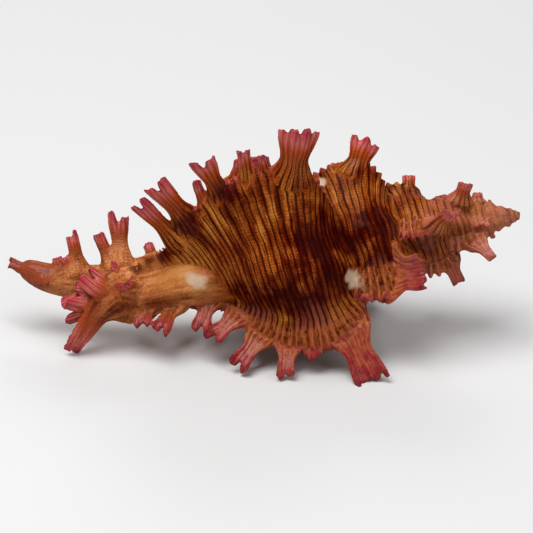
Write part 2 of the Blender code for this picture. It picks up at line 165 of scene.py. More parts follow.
# Root and tip of a frond are (from the apex, from the axis, degrees in front of the varix)
Frond = namedtuple("Frond", "root tip width flare lobes twist", defaults=(0,))

LIP_FRONDS = (
    ((44.2, 18.0, -3), (39.0, 32.6, 0), 5.2, 8.4, 4),
    ((47.4, 21.0, 0), (47.6, 28.2, 0), 1.6, 1.6, 1),
    ((51.2, 20.0, 0), (50.8, 30.8, 0), 2.4, 2.8, 2),
    ((55.8, 17.0, 0), (59.2, 29.8, 0), 3.2, 5.4, 2),
    ((50.6, 16.0, 7), (49.4, 24.4, 10), 9.0, 7.0, 1),
    ((60.0, 15.5, 0), (60.9, 23.5, 4), 2.0, 2.0, 1),
    ((61.6, 10.4, 0), (69.2, 26.6, 0), 3.8, 5.2, 2),
    ((65.0, 7.4, 0), (72.9, 22.4, 0), 3.0, 3.9, 2),
    ((72.0, 3.0, 50), (72.7, 8.8, 57), 2.2, 2.2, 1),
    ((79.0, 2.6, 34), (77.2, 15.6, 34), 2.9, 4.2, 2),
    ((80.0, 3.6, 34), (81.9, 12.6, 34), 2.4, 2.4, 1),
    ((86.7, 3.2, 34), (87.0, 13.8, 34), 2.6, 2.6, 2),
    ((88.0, 4.6, 34), (89.3, 9.6, 34), 1.8, 1.6, 1),
    ((90.4, 5.0, 42), (90.7, 9.6, 42), 2.2, 2.2, 1),
    ((92.6, 5.2, 57), (99.9, 11.2, 57), 3.4, 3.8, 2, math.radians(65)),
)
SECOND_FRONDS = (
    ((38.6, 14.5, -3), (35.2, 28.0, -6), 5.2, 7.0, 4),
    ((45.3, 17.0, 0), (45.5, 22.0, 0), 2.4, 2.6, 2),
    ((49.2, 16.0, 0), (51.7, 24.6, 0), 3.1, 3.6, 2),
    ((53.6, 13.5, 0), (60.5, 20.4, 0), 3.2, 4.4, 2),
    ((57.0, 9.0, 4), (64.4, 14.2, 6), 3.0, 4.6, 2),
    ((62.6, 4.5, 10), (66.0, 12.2, 10), 2.8, 3.8, 2),
    ((68.8, 4.0, 18), (73.7, 12.0, 18), 2.8, 4.2, 2),
    ((74.3, 3.5, 20), (77.0, 9.8, 20), 2.6, 3.8, 2),
    ((79.3, 3.5, 88), (80.0, 8.6, 112), 1.6, 1.5, 1),
    ((75.5, 4.0, 73), (79.2, 9.4, 76), 2.8, 3.6, 3),
    ((76.0, 4.0, 66), (85.4, 9.0, 104), 5.0, 5.6, 2, ACROSS),
    ((77.0, 4.2, 62), (89.3, 6.6, 84), 5.4, 5.8, 2, ACROSS),
    ((78.0, 4.2, 60), (91.2, 5.2, 50), 5.4, 5.8, 2, ACROSS),
    ((78.0, 4.2, 58), (90.6, 9.0, -16), 5.6, 5.6, 3, ACROSS),
)
THIRD_FRONDS = (
    ((35.0, 12.0, 0), (33.0, 27.2, 17), 5.4, 6.8, 3),
    ((36.6, 14.5, 0), (36.6, 20.0, 0), 1.8, 1.8, 1),
    ((39.6, 15.5, 0), (39.5, 23.7, 0), 2.2, 2.6, 2),
    ((43.2, 13.2, 0), (45.9, 23.2, 0), 2.8, 4.2, 2),
    ((46.4, 12.0, 0), (47.2, 18.2, 3), 1.7, 1.7, 1),
    ((48.6, 9.3, 0), (53.4, 20.9, 0), 2.9, 4.3, 2),
    ((51.0, 6.6, 4), (55.8, 17.3, 4), 2.6, 3.2, 2),
    ((59.5, 3.2, 20), (60.6, 12.4, 20), 2.4, 4.8, 3),
    ((66.0, 4.0, 24), (67.3, 11.4, 24), 2.2, 3.4, 3),
    ((70.0, 5.2, 25), (76.0, 9.4, 30), 3.6, 4.6, 3, ACROSS),
)

# The shoulder fronds of the other varices, at the last whorl's size
EARLIER_FRONDS = (
    ((42.5, 18.0, -3), (39.7, 32.0, -4), 6.0, 7.8, 3),
    ((48.0, 20.0, 0), (48.0, 27.0, 0), 2.2, 2.2, 1),
)

# The varices that have their own, counted back from the last one
OWN_FRONDS = {
    0: LIP_FRONDS,
    1: SECOND_FRONDS,
    2: THIRD_FRONDS,
    3: (
        ((31.8, 12.0, -3), (26.6, 20.2, 0), 3.9, 6.0, 3),
        ((33.4, 13.5, 0), (34.6, 16.8, 0), 1.6, 1.6, 1),
    ),
    4: (
        ((28.0, 9.0, 12), (20.8, 13.6, 20), 6.4, 7.4, 5, math.radians(55)),
        ((31.0, 9.5, 0), (31.4, 13.8, 0), 4.0, 4.6, 3),
    ),
    6: (((20.9, 8.0, 0), (19.9, 12.6, 0), 2.6, 2.8, 1),),
    7: (((17.6, 6.6, 10), (13.0, 11.3, 14), 4.0, 4.6, 3),),
    8: (((16.0, 5.8, 0), (14.5, 11.8, 0), 2.7, 2.8, 1),),
    10: (((11.7, 4.8, 0), (9.4, 9.3, 0), 2.8, 3.0, 1),),
    11: (((10.3, 4.0, 0), (7.3, 10.2, 0), 2.6, 2.1, 1),),
    13: (((8.0, 2.8, 0), (7.5, 5.4, 0), 2.0, 2.0, 1),),
}

# Marks that the shell gets as it grows, among them the painted shade in the hollows and creases
MARKS = ("cord", "along", "ribbed", "front", "tip", "crest", "inside", "canal", "dark")
CORD_SPACING = 1.15  # between the dark lines, in millimetres
CORD_SLANT = 0.09  # how far the cords drift towards the apex as the shell grows
SHOULDER_SHARE = 0.3  # where the shoulder is, down the outer wall
GROWTH_RADIUS = 17.0  # of the shoulder at the last varix
FROND_CORDS = 0.85  # the cords that a frond carries, as a share of those across its root
FRONT_REACH = 0.85  # how far the front of a varix is coloured, as a share of how far it slopes
CREST_WIDTH = math.radians(3.2)
# Painted shade: in the crease in front of a varix and in the hollow behind it
CREASE_WIDTH = math.radians(2)
HOLLOW_BEHIND = math.radians(13)  # where the painted shade in the hollow behind a varix is
HOLLOW_WIDTH = math.radians(9)
CANAL_ROOTS = 66  # a frond that stands this far from the apex stands on a canal ...
CANAL_END = 92  # ... and this far, at the end of the last canal
SEAM_JUMP = 0.5  # the marks are torn where they change by this many cords along an edge
SEAM_ROUNDS = 4
MARK_ROUNDS = 3  # how often each mark is mixed with its neighbours
CANAL_ROUNDS = 14

# Relief, in millimetres
CORD_RELIEF = 0.09
CREST_RELIEF = 0.7
TIP_RELIEF = 0.12
FRONT_RELIEF = 0.75
SCALE_RELIEF = 0.42  # of the frilly scales on the front of a varix
SCALE_SPACING = 1.7
GROUND_CALM = 0.5  # below this height the relief fades to none

# Fusing the growth into one piece, with sizes in millimetres
FUSE_SIZE = 0.24
SMOOTH_ROUNDS = 2
SMOOTH_FACTOR = 0.5
FILL_ROUNDS = 40  # how often the creases are filled
TRIANGLES = 196000
MERGE = 0.0001

# Rest pose: the turns about x and then y, and the place of the apex
REST_ROLL = math.radians(-27.44)
REST_PITCH = math.radians(-12.55)
APEX_AT = Vector((49.90, 0.24, 27.53))

# Markings: a place in the shell's own frame, and how far from it the marking reaches.
# Where the shell is rubbed white
WHITE_SPOTS = (
    ((-65.3, -8.1, 0.1), 1.8), ((-64.0, -8.3, -0.7), 2.1), ((-35.0, -9.6, -5.8), 2.0),
    ((-34.6, -8.9, -7.2), 2.1), ((-36.9, -4.6, 13.4), 1.3),
)

# Where it is darkest: dark brown in the shell, and painted shade where the body whorl turns from
# the light, in deep hollows and in the groove between the canals
DARK_AND_SHADED_SPOTS = (
    ((-39.6, -13.8, -6.5), 10.0), ((-40.3, -15.4, 3.6), 8.0), ((-47.8, -12.4, -8.8), 7.5),
    ((-55.3, -9.0, -6.3), 6.0), ((-63.8, -12.7, 10.4), 4.0), ((-55.7, -16.6, 15.7), 4.0),
    ((-28.4, -10.9, 3.4), 7.0), ((-27.3, -10.4, -1.1), 6.0), ((-69.8, -6.5, 5.5), 2.4),
    ((-81.4, -5.6, 4.3), 1.6), ((-75.8, -4.8, 4.3), 1.8), ((-72.9, -5.6, 4.9), 1.8),
    ((-38.6, -12.6, -7.6), 4.5), ((-35.7, -10.6, 1.6), 5.0), ((-31.6, -9.0, -9.2), 3.5),
    ((-18.7, -7.5, -2.9), 4.0),
)

# Where the canals are rust brown
RUST_SPOTS = (
    ((-87.0, -6.8, -2.0), 9.0), ((-79.5, -7.6, -2.0), 6.5), ((-73.5, -6.5, -4.5), 6.5),
    ((-84.5, -6.5, 3.0), 4.5), ((-93.3, -1.1, 7.2), 7.0),
)

# Where it is golden
GOLD_SPOTS = (
    ((-54.0, -16.4, 9.4), 5.5), ((-49.0, -17.6, 8.0), 5.0), ((-66.7, -7.0, 3.7), 6.0),
    ((-70.0, -8.0, 0.5), 5.0), ((-36.3, -7.5, -12.6), 6.0), ((-22.3, -6.3, 3.8), 3.0),
)

# Where it is pink
PINK_SPOTS = (
    ((-15.2, -4.8, 4.3), 5.5), ((-18.9, -10.2, 1.1), 4.0), ((-42.9, -9.2, -13.8), 7.0),
    ((-55.2, -6.2, -10.7), 6.0), ((-29.0, -11.5, -6.0), 4.0),
)
CREAM_REACH = 2.6  # how far the canal is cream round a white spot, in the spot's reaches
APEX = (0, 0, 0)
YOUNG_REACH = 28.0  # the whorls this near the apex are paler ...
APEX_REACH = 11.0  # ... and these are paler still
FAR = 10.0  # more reaches than any marking has

# Colours; in a run of them, each has its place in the run
WHORL_COLOURS = (
    (0.34, (0.036, 0.002, 0.001)),
    (0.47, (0.12, 0.012, 0.002)),
    (0.59, (0.27, 0.055, 0.006)),
    (0.74, (0.47, 0.16, 0.026)),
)
FROND_COLOURS = (
    (0.45, (0.3, 0.046, 0.003)),
    (0.7, (0.43, 0.06, 0.006)),
    (0.84, (0.58, 0.125, 0.1)),
    (1.0, (0.43, 0.045, 0.06)),
)
FRONT_COLOURS = (
    (0.36, (0.07, 0.006, 0.002)),
    (0.46, (0.34, 0.08, 0.012)),
    (0.58, (0.41, 0.105, 0.034)),
    (0.7, (0.33, 0.042, 0.036)),
    (0.9, (0.17, 0.009, 0.013)),
)
CANAL_COLOURS = (
    (0.37, (0.05, 0.007, 0.002)),
    (0.44, (0.28, 0.068, 0.012)),
    (0.55, (0.6, 0.22, 0.08)),
)
# Painted shade in the hollows and creases
HOLLOW_SHADE_BROWN = (0.02, 0.002, 0.001)
LINE_BROWN = (0.026, 0.0015, 0.001)
YOUNG_BROWN = (0.29, 0.08, 0.034)
APEX_PINK = (0.4, 0.14, 0.08)
WHORL_PINK = (0.46, 0.115, 0.07)
YOUNG_PINK = (0.48, 0.16, 0.095)
FROND_LINE = (0.1, 0.004, 0.004)
FRONT_LINE = (0.07, 0.004, 0.003)
YOUNG_FRONT = (0.56, 0.2, 0.12)
EDGE_CRIMSON = (0.4, 0.06, 0.06)
DARK_RUST = (0.065, 0.007, 0.002)
RUST = (0.28, 0.05, 0.011)
CANAL_GOLD = (0.56, 0.21, 0.045)
CANAL_CREAM = (0.64, 0.31, 0.11)
# On the canals: partly dark brown and partly painted shade
CANAL_DARK_AND_SHADE = (0.07, 0.008, 0.002)
CANAL_TIP = (0.24, 0.034, 0.014)
APERTURE_CREAM = (0.64, 0.4, 0.28)
RUBBED_WHITE = (0.54, 0.37, 0.25)
GROWTH_LINES = 0.5  # millimetres between the growth lines
BUMP_HEIGHT = 0.22  # of the finest relief, in millimetres

# The camera, which looks across the shell
VIEW_TURN = math.radians(11.7)  # of the coiling axis, in the picture
PICTURE_SCALE = 0.195  # millimetres to a pixel
PICTURE_SIZE = 533
APEX_PIXEL = (521, 211)  # where the apex is in the picture, from the left and from the top
CAMERA_DISTANCE = 1500.0
SENSOR = 36.0

# The studio, in metres
FLOOR_SIZE = 2.0
PALE_GREY = (0.63, 0.63, 0.63)
LIT_PLACE = Vector((0, 0, 0.02))


def mix(a, b, share):
    return a + (b - a) * share


def ease(share):
    """0 below 0, 1 above 1, and a smooth rise between."""
    share = min(max(share, 0.0), 1.0)
    return share * share * (3 - 2 * share)


def bell(value):
    """1 at 0, falling smoothly to 0 on both sides."""
    return math.exp(-(value**2))


def along_curve(points, share):
    """The point a share of the way along a smooth curve through the points."""
    last = len(points) - 1
    at = min(max(share, 0.0), 1.0) * last
    i = min(int(at), last - 1)
    t = at - i
    near = [points[min(max(j, 0), last)] for j in (i - 1, i, i + 1, i + 2)]
    result = []
    for a, b, c, d in zip(*near):
        square = 2 * a - 5 * b + 4 * c - d
        cube = 3 * b - a - 3 * c + d
        result.append(0.5 * (2 * b + (c - a) * t + square * t * t + cube * t**3))
    return result


def size_at(turn):
    """Size of the growing shell at a growth turn, as a share of its last size."""
    return WHORL_GROWTH ** (turn / WHOLE_TURN)


def varix_turn(index):
    """Growth turn of a varix, counted back from the last one."""
    before = max(index - len(VARIX_DEGREES) + 1, 0)
    return math.radians(VARIX_DEGREES[index - before]) - before * VARIX_STEP


VARIX_TURNS = [varix_turn(index) for index in range(VARICES + 10)]


def place(down, out, angle):
    """The point that far from the apex along the axis and from the axis, at that angle."""
    return Vector((-down, -out * math.cos(angle), out * math.sin(angle)))


def round_axis(angle):
    """The direction of growth round the axis at that angle."""
    return Vector((0, math.sin(angle), math.cos(angle)))


def crest_share(share, index):
    """How much of a varix's height there is that far down the outer wall."""
    start = CREST_STARTS[index] if index < len(CREST_STARTS) else SPIRE_START
    return mix(CREST_LOW, 1.0, ease(share / start)) * mix(1.0, CREST_END, ease((share - 0.4) / 0.5))


def varix_swell(share, turn):
    """Height of the varix at a place on the outer wall, and how far a low node has risen there."""
    crest = 0.0
    node = 0.0
    for index, varix in enumerate(VARIX_TURNS):
        if abs(varix - turn) > WHOLE_TURN / 2:
            continue
        height = CREST_HEIGHTS[index] if index < len(CREST_HEIGHTS) else SPIRE_CREST
        height *= crest_share(share, index)
        front = CREST_FRONTS[index] if index < len(CREST_FRONTS) else SPIRE_FRONT
        ahead = varix - turn
        if 0 <= ahead < CREST_BACK:
            crest = max(crest, height * (1 - ahead / CREST_BACK) ** BACK_POWER)
        elif -front < ahead < 0:
            power = FRONT_STEEP if index < len(CREST_FRONTS) else FRONT_GENTLE
            crest = max(crest, height * (1 + ahead / front) ** power)
        if index:
            middle = (varix + VARIX_TURNS[index - 1]) / 2
            node += bell((turn - middle) / NODE_WIDTH)
    return crest, node


def wall_point(share, turn):
    """(from the apex, from the axis) on the outer wall, at the last whorl's size."""
    down, out = along_curve(WHORL_OUTLINE, share)
    before = along_curve(WHORL_OUTLINE, share - CURVE_STEP)
    after = along_curve(WHORL_OUTLINE, share + CURVE_STEP)
    run = after[0] - before[0]
    rise = after[1] - before[1]
    length = math.hypot(run, rise)
    crest, node = varix_swell(share, turn)
    crest *= ease(size_at(turn) / CREST_YOUNG)
    node *= ease(share / 0.2) * (1 - ease((share - 0.45) / 0.3))
    lift = crest + (SPIRE_NODE if turn < SPIRE_TURN else NODE_HEIGHT) * node
    swell = 1 + APEX_SWELL * math.exp(-size_at(turn) / APEX_FADE)
    return down - rise / length * lift, (out + run / length * lift) * swell


def section_point(share, turn):
    """A point round the whorl's section: down the outer wall, then back up the columella."""
    if share <= 1:
        down, out = wall_point(share, turn)
    else:
        down = mix(WHORL_OUTLINE[-1][0] + 1, WHORL_OUTLINE[0][0] - 0.4, share - 1)
        out = COLUMELLA_RADIUS
    size = size_at(turn)
    point = place(down * size, out * size, LIP_ANGLE + turn)
    return point + APEX_LEAN * math.exp(-size / APEX_FADE)


def mouth_point(share, turn, shrink):
    """A point round the aperture's oval: down its outer side, then back up its inner side."""
    down = MOUTH_CENTRE[0] - MOUTH_HALF[0] * shrink * math.cos(math.pi * share)
    out = MOUTH_CENTRE[1] + MOUTH_HALF[1] * shrink * math.sin(math.pi * share)
    size = size_at(turn)
    return place(down * size, out * size, LIP_ANGLE + turn)


def outline_lengths(steps=200):
    """Millimetres from the suture to each of the steps down the outer wall of the last whorl."""
    points = [along_curve(WHORL_OUTLINE, step / steps) for step in range(steps + 1)]
    lengths = [0.0]
    for (down, out), (next_down, next_out) in zip(points, points[1:]):
        lengths.append(lengths[-1] + math.hypot(next_down - down, next_out - out))
    return lengths


OUTLINE_LENGTHS = outline_lengths()


def wall_length(share):
    """Millimetres from the suture down the outer wall of the last whorl."""
    at = min(max(share, 0.0), 1.0) * (len(OUTLINE_LENGTHS) - 1)
    i = min(int(at), len(OUTLINE_LENGTHS) - 2)
    return mix(OUTLINE_LENGTHS[i], OUTLINE_LENGTHS[i + 1], at - i)


def cord_number(share, turn):
    """How many cords there are between the shoulder and a place on the outer wall."""
    from_shoulder = (wall_length(share) - wall_length(SHOULDER_SHARE)) * size_at(turn)
    return (from_shoulder + CORD_SLANT * growth_length(turn)) / CORD_SPACING


def cord_at(down, turn):
    """The cord on which a frond stands that far from the apex."""
    down = down / size_at(turn)
    share = 0.0
    while share < 1 and along_curve(WHORL_OUTLINE, share)[0] < down:
        share += 0.01
    extra = max(down - WHORL_OUTLINE[-1][0], 0) * size_at(turn) / CORD_SPACING
    return cord_number(share, turn) + extra


def growth_length(turn):
    """Millimetres grown along the shoulder."""
    return GROWTH_RADIUS * WHOLE_TURN / math.log(WHORL_GROWTH) * size_at(turn)


def wall_marks(share, turn):
    """The marks of a place on the outer wall."""
    front = 0.0
    crest = 0.0
    hollow = 0.0
    crease = 0.0
    for index, varix in enumerate(VARIX_TURNS):
        ahead = varix - turn
        if abs(ahead) > WHOLE_TURN / 2:
            continue
        height = crest_share(share, index) * ease(size_at(turn) / CREST_YOUNG)
        reach = CREST_FRONTS[index] if index < len(CREST_FRONTS) else SPIRE_FRONT
        crest = max(crest, height * bell(ahead / CREST_WIDTH))
        if -reach * FRONT_REACH < ahead < 0:
            front = max(front, height**0.5 * ease(2.5 * (1 + ahead / reach / FRONT_REACH)))
        hollow = max(hollow, bell((ahead - HOLLOW_BEHIND) / HOLLOW_WIDTH))
        crease = max(crease, height * bell((ahead + reach * FRONT_REACH) / CREASE_WIDTH))
    # Painted shade: darker in the hollow behind each varix and in the crease in front of it
    dark = hollow * 0.6 * ease((share - 0.15) / 0.2) * (1 - ease((share - 0.6) / 0.3))
    ribbed = ease((share + 0.02) / 0.06) * ease(size_at(turn) / 0.25)
    return {
        "cord": cord_number(share, turn),
        "along": growth_length(turn),
        "ribbed": ribbed * (1 - 0.8 * ease((share - 0.86) / 0.1)),
        "canal": 0.9 * ease((share - 0.88) / 0.1),
        "front": front,
        "tip": 0.0,
        "crest": crest,
        "dark": max(dark, crease),
    }


def section_marks(share, turn):
    """The marks of a place on a whorl's section; the columella has no cords."""
    if share <= 1:
        return wall_marks(share, turn)
    marks = wall_marks(1, turn)
    marks["ribbed"] = 0.0
    return marks


def mapped_grid(along, around, surface):
    """A mesh of a grid, each of whose points the surface function puts in place and marks."""
    mesh = bmesh.new()
    layers = {name: mesh.verts.layers.float.new(name) for name in MARKS}
    bmesh.ops.create_grid(mesh, x_segments=along, y_segments=around, size=0.5)
    for vertex in mesh.verts:
        vertex.co, marks = surface(vertex.co.x + 0.5, vertex.co.y + 0.5)
        for name, value in marks.items():
            vertex[layers[name]] = value
    return mesh


def closed_up(mesh):
    """The same mesh with its seam joined and its ends filled."""
    bmesh.ops.remove_doubles(mesh, verts=mesh.verts, dist=MERGE)
    bmesh.ops.holes_fill(mesh, edges=mesh.edges, sides=0)
    bmesh.ops.recalc_face_normals(mesh, faces=mesh.faces)
    return mesh


def coiled_tube():
    """The whorls as one tube, whose end turns in at the lip and runs back as the aperture."""
    turns = math.ceil((LAST_TURN - FIRST_TURN) / TURN_STEP)
    rows = turns + MOUTH_ROWS

    def surface(along, around):
        row = round(along * rows)
        if around <= OUTER_SHARE:
            share = around / OUTER_SHARE
        else:
            share = 1 + (around - OUTER_SHARE) / (1 - OUTER_SHARE)
        at_seam = around > 1 - 0.5 / AROUND_STEPS
        if at_seam:
            share = 0
        if row <= turns:
            turn = mix(FIRST_TURN, LAST_TURN, row / turns)
            return section_point(share, turn), section_marks(2 if at_seam else share, turn)
        marks = section_marks(share, LAST_TURN)
        marks["inside"] = min((row - turns) / 2, 1)
        marks["ribbed"] = 0.0
        if row == turns + 1:
            rim = section_point(share, LAST_TURN + MOUTH_RIM)
            return rim.lerp(mouth_point(share, LAST_TURN + MOUTH_RIM, 1.0), MOUTH_FLARE), marks
        depth = (row - turns - 2) / (MOUTH_ROWS - 2)
        turn = LAST_TURN - MOUTH_DEPTH * depth
        marks["along"] = growth_length(turn)
        return mouth_point(share, turn, mix(1.0, THROAT_SHRINK, depth)), marks

    return mapped_grid(rows, AROUND_STEPS, surface)


def canal(angle, points):
    """One growth stage's canal, a tapering tube with rounded ends."""

    def surface(along, around):
        share = ease(along)
        down, out, radius = along_curve(points, share)
        before = along_curve(points, share - CURVE_STEP)
        after = along_curve(points, share + CURVE_STEP)
        path = place(after[0], after[1], angle) - place(before[0], before[1], angle)
        path.normalize()
        side = round_axis(angle)
        up = path.cross(side)
        round_end = math.sqrt(max(1 - (2 * share - 1) ** CANAL_BLUNT, 0))
        turn_round = around * WHOLE_TURN if around < 1 - 0.5 / CANAL_AROUND else 0
        direction = side * math.cos(turn_round) + up * math.sin(turn_round)
        marks = {
            "cord": around * WHOLE_TURN * 3 / CORD_SPACING,
            "along": down,
            "ribbed": 0.35,
            "canal": ease((share - 0.1) / 0.3),
            "tip": 0.75 * ease((share - 0.55) / 0.45),
        }
        return place(down, out, angle) + direction * radius * round_end, marks

    return mapped_grid(CANAL_ALONG, CANAL_AROUND, surface)


def frond_centre(frond, angle, size, share):
    """The point a share of the way along the middle of a frond."""
    down = mix(frond.root[0], frond.tip[0], share) * size
    out = mix(frond.root[1], frond.tip[1], share) * size
    return place(down, out, angle + math.radians(mix(frond.root[2], frond.tip[2], share**2)))


def grown_frond(frond, angle, turn, size):
    """A hollow frond: a blade whose edges fold forward, broad at its root and lobed at its tip."""
    mesh = bmesh.new()
    layers = {name: mesh.verts.layers.float.new(name) for name in MARKS}
    bmesh.ops.create_grid(mesh, x_segments=FROND_ACROSS, y_segments=FROND_ALONG, size=1)
    thick = bmesh.ops.extrude_face_region(mesh, geom=mesh.faces[:])["geom"]
    top = [part for part in thick if isinstance(part, bmesh.types.BMVert)]
    bmesh.ops.translate(mesh, verts=top, vec=(0, 0, 1))
    thickness = min(THICKEST, THICKNESS_BASE + THICKNESS_PER_WIDTH * frond.width)
    thickness *= max(size, YOUNG_THICK)
    on_a_canal = frond.root[0] > CANAL_ROOTS
    at_canal_end = frond.root[0] > CANAL_END
    root_cord = cord_at(frond.root[0] * size, turn)
    length = (frond_centre(frond, angle, size, 1) - frond_centre(frond, angle, size, 0)).length
    for vertex in mesh.verts:
        across = vertex.co.x
        front = vertex.co.z - 0.5
        lobe = frond.lobes * (across / LOBE_SPREAD + 1) / 2
        near_cleft = abs(math.cos(math.pi * lobe))
        cleft = 0.35 * near_cleft**2 + 0.65 * near_cleft**10
        short = 0.5 + 0.5 * math.sin(2.4 * int(lobe) + frond.tip[0])
        short = UNEVEN * (1 - near_cleft**2) * short
        share = (vertex.co.y + 1) / 2
        share *= LENGTHEN - (NOTCHES[frond.lobes] * cleft + short) * share
        root = ease((ROOT_TOP - share) / ROOT_TOP * 1.2)
        back = root * ease(share / 0.3)
        half = frond.width * (1 + ROOT_SPREAD * root) / 2
        half = mix(half, frond.flare / 2, ease((share - 0.45) / 0.5)) * size
        centre = frond_centre(frond, angle, size, share)
        path = frond_centre(frond, angle, size, share + CURVE_STEP)
        path -= frond_centre(frond, angle, size, share - CURVE_STEP)
        path.normalize()
        forward = round_axis(math.atan2(centre.z, -centre.y))
        forward -= path * forward.dot(path)
        forward.normalize()
        side = path.cross(forward)
        twisted = forward * math.cos(frond.twist) + side * math.sin(frond.twist)
        side = side * math.cos(frond.twist) - forward * math.sin(frond.twist)
        body = thickness * mix(1, TIP_THICKNESS, share) * (1 + ROOT_SWELL * back)
        body *= math.sqrt(1 - ROUND_EDGE * across**2)
        fold = CUP * half * across**2 * ease(share / 0.35) - ROOT_BACK * back * size
        if frond.lobes > 1:
            flute = FLUTES * half / frond.lobes * math.cos(WHOLE_TURN * lobe)
            fold += flute * ease((share - 0.3) / 0.5)
        vertex.co = centre + side * across * half + twisted * (fold + front * body)
        cords_across = across * frond.width * size / CORD_SPACING * FROND_CORDS
        vertex[layers["cord"]] = root_cord + cords_across
        vertex[layers["along"]] = growth_length(turn) + (share - 0.3) * length
        on_canal = 0.0
        if at_canal_end:
            on_canal = 1.0
        elif on_a_canal:
            on_canal = 1 - ease((share - 0.5) / 0.4)
        vertex[layers["ribbed"]] = 1 - on_canal
        vertex[layers["canal"]] = on_canal
        vertex[layers["front"]] = 1.0 - on_canal if front > 0 else 0.0
        vertex[layers["tip"]] = mix(0.6, 0.95, share) if at_canal_end else share
    bmesh.ops.recalc_face_normals(mesh, faces=mesh.faces)
    return mesh


def growth_pieces():
    """The whorls, the canals and the fronds, one after the other."""
    yield coiled_tube()
    for angle, points in CANALS:
        yield canal(angle, points)
    for index in range(VARICES):
        turn = varix_turn(index)
        angle = LIP_ANGLE + turn
        size = 1.0 if index in OWN_FRONDS else size_at(turn)
        for frond in OWN_FRONDS.get(index, EARLIER_FRONDS):
            yield grown_frond(Frond(*frond), angle, turn, size)


def placed(name, data):
    """A new object in the scene."""
    thing = bpy.data.objects.new(name, data)
    bpy.context.scene.collection.objects.link(thing)
    return thing


def read(items, name, width, kind=float):
    """What a mesh says of each of its items, as the rows of an array."""
    values = np.empty(len(items) * width, dtype=kind)
    items.foreach_get(name, values)
    return values.reshape(-1, width)


def put_in(mesh, shape):
    """Put a shape in a mesh, and free it."""
    shape.to_mesh(mesh)
    shape.free()
    mesh.update()


def applied(piece):
    """The piece's mesh with its modifiers applied, as a bmesh."""
    depsgraph = bpy.context.evaluated_depsgraph_get()
    finished = bpy.data.meshes.new_from_object(piece.evaluated_get(depsgraph))
    piece.modifiers.clear()
    shape = bmesh.new()
    shape.from_mesh(finished)
    bpy.data.meshes.remove(finished)
    return shape


def fill_creases(mesh):
    """Round off the inward creases, such as where a frond leaves the whorl."""
    count = len(mesh.vertices)
    edges = read(mesh.edges, "vertices", 2, int)
    ends = np.concatenate((edges[:, 0], edges[:, 1]))
    others = np.concatenate((edges[:, 1], edges[:, 0]))
    neighbours = np.bincount(ends, minlength=count)
    places = read(mesh.vertices, "co", 3)
    for _ in range(FILL_ROUNDS):
        normals = read(mesh.vertex_normals, "vector", 3)
        middles = [np.bincount(ends, places[others, axis], count) / neighbours for axis in range(3)]
        outward = np.einsum("ij,ij->i", np.stack(middles, 1) - places, normals)
        places = places + normals * np.maximum(outward, 0)[:, None]
        mesh.vertices.foreach_set("co", places.ravel())
        mesh.update()


def keep_largest(shape):
    """Remove every part that isn't joined to the largest one, such as a closed hollow's skin."""
    shape.verts.index_update()
    seen = set()
    groups = []
    for start in shape.verts:
        if start.index in seen:
            continue
        seen.add(start.index)
        group = [start]
        for vertex in group:
            for edge in vertex.link_edges:
                other = edge.other_vert(vertex)
                if other.index not in seen:
                    seen.add(other.index)
                    group.append(other)
        groups.append(group)
    groups.sort(key=len)
    spare = [vertex for group in groups[:-1] for vertex in group]
    bmesh.ops.delete(shape, geom=spare, context="VERTS")


def rest_pose():
    """From the shell's own frame to its rest pose, in millimetres."""
    roll = Matrix.Rotation(REST_ROLL, 4, "X")
    pitch = Matrix.Rotation(REST_PITCH, 4, "Y")
    return Matrix.Translation(APEX_AT) @ pitch @ roll


class Chart:
    """The surfaces of the growth as they were drawn, which give any point near them its marks."""

    def __init__(self):
        self.points = []
        self.corners = []
        self.marks = []

    def add(self, mesh):
        """Note the surface of one piece of the growth, while all its faces have four sides."""
        first = len(self.points)
        layers = [mesh.verts.layers.float[name] for name in MARKS]
        mesh.verts.index_update()
        for vertex in mesh.verts:
            self.points.append(vertex.co.copy())
            self.marks.append([vertex[layer] for layer in layers])
        for face in mesh.faces:
            a, b, c, d = (first + vertex.index for vertex in face.verts)
            self.corners.append((a, b, c))
            self.corners.append((a, c, d))

    def marks_at(self, places):
        """The marks of the nearest points of the surfaces, mixed from the corners there."""
        tree = BVHTree.FromPolygons(self.points, self.corners)
        hits = [tree.find_nearest(point) for point in places]
        found = np.array([hit[0] for hit in hits])
        corners = np.array(self.corners)[[hit[2] for hit in hits]]
        points = np.array(self.points)
        marks = np.array(self.marks)
        a, b, c = (points[corners[:, k]] for k in range(3))
        across = b - a
        down = c - a
        inward = found - a
        aa = np.einsum("ij,ij->i", across, across)
        ad = np.einsum("ij,ij->i", across, down)
        dd = np.einsum("ij,ij->i", down, down)
        ia = np.einsum("ij,ij->i", inward, across)
        id_ = np.einsum("ij,ij->i", inward, down)
        area = np.maximum(aa * dd - ad * ad, 1e-12)
        v = ((dd * ia - ad * id_) / area).clip(0, 1)
        w = ((aa * id_ - ad * ia) / area).clip(0, 1)
        shares = np.stack([1 - v - w, v, w], 1)
        return np.einsum("ik,ikm->im", shares, marks[corners])


def spread(values, edges, rounds):
    """Values at points, each mixed with its neighbours' a number of times."""
    counts = np.bincount(edges.ravel(), minlength=len(values))
    for _ in range(rounds):
        sums = np.zeros_like(values)
        np.add.at(sums, edges[:, 0], values[edges[:, 1]])
        np.add.at(sums, edges[:, 1], values[edges[:, 0]])
        values = 0.5 * values + 0.5 * sums / np.maximum(counts, 1)
    return values


